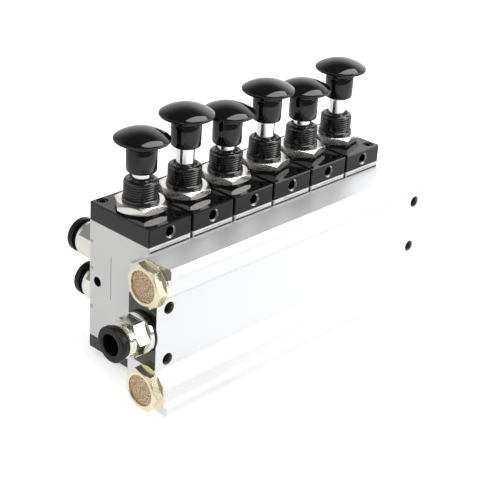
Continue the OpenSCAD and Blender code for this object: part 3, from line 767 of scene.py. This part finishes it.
inletCollet = turnCollet("inletColletPattern", colletMake, *colletMake["inlet"])
finishPiece(copyPiece(inletCollet, "releaseCollet.inlet",
                      fromDrawing(inletMake["mouth"], inletMake["back"], inletMake["height"]), lying),
            "release_collet_inlet", "black_collet", "blackCollet", "inlet_collet")
removePiece(inletCollet)
outletCollet = turnCollet("outletColletPattern", colletMake, *colletMake["outlet"])
for row in "ab":
    for i in stations:
        name = "outlet_collet_%s%d" % (row, i)
        centre = centreOf(name)
        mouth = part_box(name)[1][1] - sum(colletMake["outlet"]) * mm
        finishPiece(copyPiece(outletCollet, "releaseCollet.%s%d" % (row, i),
                              (centre.x, mouth, centre.z), facing),
                    "release_collet_%s%d" % (row, i), "black_collet", "blackCollet", name)
removePiece(outletCollet)
outlets = softCopy("outlet_bodies", "outletFittings", 0.12)
finishPiece(outlets, "manifold_block", "nickel_fitting", "nickelFitting", "outlet_bodies")
print("fittings and collets:", 1 + 2 * len(stations))


# rubber: the valve gaskets' edges, the seals round rods and tubes, and the inlet's ring

def ringSeal(name, radius, thick):
    return turnPiece(name, arcPoints((radius, 0), thick, 0, 360, 12), 48, 60)


sealMake = {
    "pitch": 23.0, "valveWidth": 22, "gasketInset": 0.8, "gasketTop": -9.35, "gasketProud": 0.14,
    "gasketThick": 0.6, "gasketHeight": 48.4, "gasketEdge": 0.1, "ringInner": 6.65, "ringOuter": 8.5,
    "ringThick": 0.8, "rodSeal": 4.45, "rodThick": 0.68, "rodUp": 5, "tubeSeal": 4.9, "tubeThick": 0.83,
    "tubeIn": 2.2, "inletIn": 5.4,
}


def finishSeal(piece):
    finishPiece(piece, "manifold_block", "black_rubber", "blackRubber", "seals")


gasketSize = (sealMake["valveWidth"] - 2 * sealMake["gasketInset"], sealMake["gasketThick"],
              sealMake["gasketHeight"])
for i in stations:
    gasket = blockPiece("valveGasket.%d" % i, gasketSize, fromDrawing(
        (i - 1) * sealMake["pitch"] + sealMake["valveWidth"] / 2,
        sealMake["gasketThick"] / 2 - sealMake["gasketProud"],
        sealMake["gasketTop"] - sealMake["gasketHeight"] / 2))
    softenEdges(gasket, sealMake["gasketEdge"], 1)
    finishSeal(gasket)
inner, outer, thick = sealMake["ringInner"], sealMake["ringOuter"], sealMake["ringThick"]
ringPattern = turnPiece("ringPattern", [(inner, 0), (outer, 0), (outer, thick), (inner, thick), (inner, 0)])
finishSeal(copyPiece(ringPattern, "inletRing",
                     fromDrawing(nearEnd, inletMake["back"], inletMake["height"]), lying))
removePiece(ringPattern)
rodSealPattern = ringSeal("rodSealPattern", sealMake["rodSeal"], sealMake["rodThick"])
tubeSealPattern = ringSeal("tubeSealPattern", sealMake["tubeSeal"], sealMake["tubeThick"])
for i in stations:
    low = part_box("bushing_%d" % i)[0][2]
    finishSeal(copyPiece(rodSealPattern, "rodSeal.%d" % i,
                         axisPoint("bushing_%d" % i, low + sealMake["rodUp"] * mm)))
    for row in "ab":
        name = "outlet_collet_%s%d" % (row, i)
        centre = centreOf(name)
        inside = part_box(name)[0][1] - sealMake["tubeIn"] * mm
        finishSeal(copyPiece(tubeSealPattern, "tubeSeal.%s%d" % (row, i),
                             (centre.x, inside, centre.z), facing))
finishSeal(copyPiece(tubeSealPattern, "tubeSeal.inlet",
                     fromDrawing(inletMake["mouth"] + sealMake["inletIn"], inletMake["back"],
                                 inletMake["height"]), lying))
removePiece(rodSealPattern)
removePiece(tubeSealPattern)
print("rubber pieces:", 4 * len(stations) + 2)


# silencers: a pale brass hexagon with a round seat and a disc of fused bronze grains

silencerMake = {
    "flats": 15.6, "seatRadius": 9.0, "seatHeight": 0.8, "hexHeight": 4.0, "turned": 0.93, "hexFoot": 6.9,
    "shank": 6.6, "shankLength": 11.0, "shankWall": 1.8, "pocket": 6.32, "pocketDepth": 3.6, "mouth": 0.3,
    "back": -12.2, "low": -36.0 - 22.1, "high": -36.0 + 22.1, "turns": {"high": -6, "low": -4}, "edge": 0.06,
}
rim = silencerMake["seatHeight"] + silencerMake["hexHeight"]


def seatOutline(make):
    shank, foot, seat, inside = make["shank"], -make["shankLength"], make["seatRadius"], make["hexFoot"]
    return [
        (0, foot), (shank - 0.5, foot), (shank, foot + 0.5), (shank, 0), (seat - 0.2, 0), (seat, 0.15),
        (seat, 0.65), (seat - 0.2, 0.82), (inside, 0.82), (inside, 1.2), (0, 1.2),
    ]


def pocketOutline(make):
    air = make["shank"] - make["shankWall"]
    pocket, mouth = make["pocket"], make["pocket"] + make["mouth"]
    pocketFloor = rim - make["pocketDepth"]
    return [
        (0, -20), (air, -20), (air, pocketFloor), (pocket, pocketFloor), (pocket, rim - 0.25),
        (mouth, rim + 0.05), (mouth, rim + 2), (0, rim + 2),
    ]


silencerPattern = hexBlock("silencerPattern", silencerMake["flats"], silencerMake["seatHeight"], rim,
                           0, silencerMake["turned"])
combine(silencerPattern, turnPiece("silencerSeat", seatOutline(silencerMake), 96), "UNION")
combine(silencerPattern, turnPiece("silencerPocket", pocketOutline(silencerMake)), "DIFFERENCE")
softenEdges(silencerPattern, silencerMake["edge"], 1)

# the disc's face is divided finely and its grains are raised by a Displace modifier
discMake = {"radius": 6.3, "foot": 3.6, "side": 0.9, "faceRadius": 6.1, "sunk": 0.75, "ring": 0.19,
            "rings": 31, "grain": 0.62, "lift": -0.42, "middle": 0.35, "steps": 160}
discFace = rim - discMake["sunk"]
rings = [discMake["faceRadius"] - discMake["ring"] * step for step in range(1, discMake["rings"] + 1)]
discPattern = turnPiece("discPattern", [
    (0, rim - discMake["foot"]), (discMake["radius"], rim - discMake["foot"]),
    (discMake["radius"], rim - discMake["side"]), (discMake["faceRadius"], discFace)]
    + [(radius, discFace) for radius in rings] + [(0, discFace)], discMake["steps"], 50)
grains = bpy.data.textures.new("bronzeGrains", "VORONOI")
grains.noise_scale = discMake["grain"] * mm
raised = discPattern.vertex_groups.new(name="face")
raised.add([vertex.index for vertex in discPattern.data.vertices if vertex.co.z > (discFace - 0.05) * mm],
           1.0, "REPLACE")
lift = discPattern.modifiers.new("grains", "DISPLACE")
lift.texture = grains
lift.texture_coords = "LOCAL"
lift.vertex_group = "face"
lift.direction = "Z"
lift.strength = discMake["lift"] * mm
lift.mid_level = discMake["middle"]
applyModifiers(discPattern)
smoothByAngle(discPattern, 60)
for place, nodeName in (("high", "silencer_upper"), ("low", "silencer_lower")):
    where = fromDrawing(nearEnd, silencerMake["back"], silencerMake[place])
    turn = lying @ Matrix.Rotation(math.radians(30 + silencerMake["turns"][place]), 4, "Z")
    finishPiece(copyPiece(silencerPattern, "silencer.%s" % place, where, turn),
                "manifold_block", "yellow_brass", "yellowBrass", nodeName)
    finishPiece(copyPiece(discPattern, "bronzeDisc.%s" % place, where, turn),
                "manifold_block", "sintered_bronze", "sinteredBronze", "silencer_discs")
removePiece(silencerPattern)
removePiece(discPattern)
print("silencers and discs: 2")


# screws and plugs keep the CAD form with broken edges
for name, title, slotName, finishName, edge in (
        ("cap_screws", "capScrews", "black_screw", "blackScrew", 0.1),
        ("valve_screws", "valveScrews", "black_screw", "blackScrew", 0.12),
        ("end_plugs", "endPlugs", "plated_steel", "platedSteel", 0.2)):
    finishPiece(softCopy(name, title, edge), "manifold_block", slotName, finishName, name)
print("screws and plugs: 3 sets")


# plain print on the first valve's side: a rule and three small port marks, without words

printMake = {
    "rule": (21.0, -19.0, -38.0), "width": 0.25, "thick": 0.012,
    "marks": ((32.4, -16.6), (32.4, -28.3), (32.4, -45.6)), "markWidth": 0.26, "markHeight": 1.5,
    "markApart": 0.5, "markRise": 0.25, "markShorter": 0.5,
}


def printBar(name, y, z, wide, tall):
    return blockPiece(name, (printMake["thick"], wide, tall), fromDrawing(0, y, z))


ruleY, ruleTop, ruleLow = printMake["rule"]
rule = printBar("printRule", ruleY, (ruleTop + ruleLow) / 2, printMake["width"], ruleTop - ruleLow)
bars = []
for index, (y, z) in enumerate(printMake["marks"]):
    for step in range(3):
        middle = step == 1  # the middle bar is shorter and a little higher
        bars.append(printBar("printMark.%d.%d" % (index, step), y + printMake["markApart"] * (step - 1),
                             z + printMake["markRise"] * middle, printMake["markWidth"],
                             printMake["markHeight"] - printMake["markShorter"] * middle))
joinPieces(rule, *bars)
finishPiece(rule, "manifold_block", "black_rubber", "greyPrint")
print("print: 1 rule and 3 marks")


# stage: a pale floor that keeps the shadow, and white behind the object

studio = {
    "floorSize": 6.0, "floorGlow": 0.55, "mirrored": (0.82, 1.22), "across": (-0.2, 0.2),
    "keyWay": (0.69, -0.72, 0), "roomDark": 0.15, "ambient": 0.75,
    "overhead": {"place": (0.42, -0.24, 1.0), "target": (0.42, -0.24, 0),
                 "size": (0.95, 0.55), "radiance": 5.0},
    "key": {"place": (0.60, -0.66, 0.47), "target": (0, 0, 0.05),
            "size": (0.75, 0.5), "radiance": 2.8},
}

clearSelection()
bpy.ops.mesh.primitive_plane_add(size=studio["floorSize"])
floor = bpy.context.object
floor.name = "paleFloor"
floorFinish = newFinish("paleFloorFinish", (0.93, 0.93, 0.93), 0.9)
lightPath = node(floorFinish, "ShaderNodeLightPath")
glow = node(floorFinish, "ShaderNodeMath", operation="MULTIPLY")
glow.inputs[1].default_value = studio["floorGlow"]
link(floorFinish, lightPath.outputs["Is Camera Ray"], glow.inputs[0])
inputOf(floorFinish, "Emission Color").default_value = (1, 1, 1, 1)
link(floorFinish, glow.outputs[0], inputOf(floorFinish, "Emission Strength"))
# painted light: in reflections the floor glows rather than being lit, a little brighter towards the key side
across = node(floorFinish, "ShaderNodeVectorMath", operation="DOT_PRODUCT")
link(floorFinish, placeOf(floorFinish), across.inputs[0])
across.inputs[1].default_value = studio["keyWay"]
mirrored = node(floorFinish, "ShaderNodeEmission")
mirroredGlow = rangeOf(floorFinish, across.outputs["Value"], *studio["mirrored"], *studio["across"])
link(floorFinish, mirroredGlow, mirrored.inputs["Strength"])
floorMix = node(floorFinish, "ShaderNodeMixShader")
link(floorFinish, lightPath.outputs["Is Glossy Ray"], floorMix.inputs["Fac"])
floorNodes = floorFinish.node_tree.nodes
link(floorFinish, floorNodes["Principled BSDF"].outputs["BSDF"], floorMix.inputs[1])
link(floorFinish, mirrored.outputs["Emission"], floorMix.inputs[2])
link(floorFinish, floorMix.outputs["Shader"], floorNodes["Material Output"].inputs["Surface"])
floor.data.materials.append(floorFinish)

# the room as the glossy metal sees it: a lit wall on the far side, dark overhead and behind the camera
world = bpy.data.worlds.new("studioRoom")
bpy.context.scene.world = world
world.use_nodes = True
world.node_tree.nodes.clear()


def ramp(source, stops):
    made = node(world, "ShaderNodeValToRGB")
    elements = made.color_ramp.elements
    for index, (place, value) in enumerate(stops):
        element = elements[index] if index < 2 else elements.new(place)
        element.position = place
        element.color = (value, value, value, 1)
    link(world, source, made.inputs["Fac"])
    return made.outputs["Color"]


def roomMath(operation, first, second=None):
    made = node(world, "ShaderNodeMath", operation=operation)
    for index, value in enumerate((first, second)):
        if value is None:
            continue
        if isinstance(value, (int, float)):
            made.inputs[index].default_value = value
        else:
            link(world, value, made.inputs[index])
    return made.outputs[0]


coords = node(world, "ShaderNodeTexCoord")
split = node(world, "ShaderNodeSeparateXYZ")
link(world, coords.outputs["Generated"], split.inputs[0])
azimuth = roomMath("ARCTAN2", split.outputs["Y"], split.outputs["X"])
turnPart = roomMath("ADD", roomMath("DIVIDE", azimuth, 2 * math.pi), 0.5)  # 0 at -180 degrees, 1 at 180
heightPart = roomMath("DIVIDE", roomMath("ARCSINE", split.outputs["Z"]), math.pi / 2)
# the wall's light by azimuth and by elevation, in degrees; the first is halved to fit a ramp's 0 to 1
roundLight = (
    (-180, 0.8), (-158, 0.35), (-148, 0.13), (-22, 0.13), (-8, 1.2), (5, 1.7), (20, 1.95), (33, 1.6),
    (45, 1.15), (60, 0.95), (72, 0.72), (80, 0.35), (88, 0.35), (97, 0.75), (130, 0.9), (179, 0.85))
upLight = ((0, 1.0), (27, 1.0), (32, 0.9), (41, 0.45), (53, 0.0), (90, 0.0))
wallRound = ramp(turnPart, [((angle + 180) / 360, value / 2) for angle, value in roundLight])
wallUp = ramp(heightPart, [(angle / 90, value) for angle, value in upLight])
litWall = roomMath("MULTIPLY", roomMath("MULTIPLY", wallRound, wallUp), 2.0)
room = roomMath("ADD", litWall, studio["roomDark"])
rayKind = node(world, "ShaderNodeLightPath")
notGlossy = roomMath("SUBTRACT", 1.0, rayKind.outputs["Is Glossy Ray"])
strength = roomMath("ADD", roomMath("MULTIPLY", room, rayKind.outputs["Is Glossy Ray"]),
                    roomMath("MULTIPLY", notGlossy, studio["ambient"]))
camera = rayKind.outputs["Is Camera Ray"]
strength = roomMath("ADD", roomMath("MULTIPLY", strength, roomMath("SUBTRACT", 1.0, camera)), camera)
background = node(world, "ShaderNodeBackground")
link(world, strength, background.inputs["Strength"])
worldOut = node(world, "ShaderNodeOutputWorld")
link(world, background.outputs["Background"], worldOut.inputs["Surface"])


def softbox(name, place, target, size, radiance):  # a soft lamp that faces its target
    data = bpy.data.lights.new(name, "AREA")
    data.shape = "RECTANGLE"
    data.size, data.size_y = size
    data.energy = radiance * math.pi * size[0] * size[1]
    lamp = bpy.data.objects.new(name, data)
    bpy.context.scene.collection.objects.link(lamp)
    lamp.location = place
    lamp.rotation_euler = (Vector(target) - Vector(place)).to_track_quat("-Z", "Y").to_euler()


softbox("overheadSoftbox", **studio["overhead"])
softbox("keySoftbox", **studio["key"])

view = {"place": (-0.35670, -0.32775, 0.27440), "turn": (63.4865, -3.4342, -46.4429), "lens": 92.47,
        "sensor": 36}
cameraData = bpy.data.cameras.new("photoView")
cameraData.lens = view["lens"]
cameraData.sensor_width = view["sensor"]
photoView = bpy.data.objects.new("photoView", cameraData)
bpy.context.scene.collection.objects.link(photoView)
photoView.location = view["place"]
photoView.rotation_euler = [math.radians(angle) for angle in view["turn"]]
bpy.context.scene.camera = photoView
bpy.context.scene.view_settings.view_transform = "Standard"
print("stage, room, softboxes and camera set")
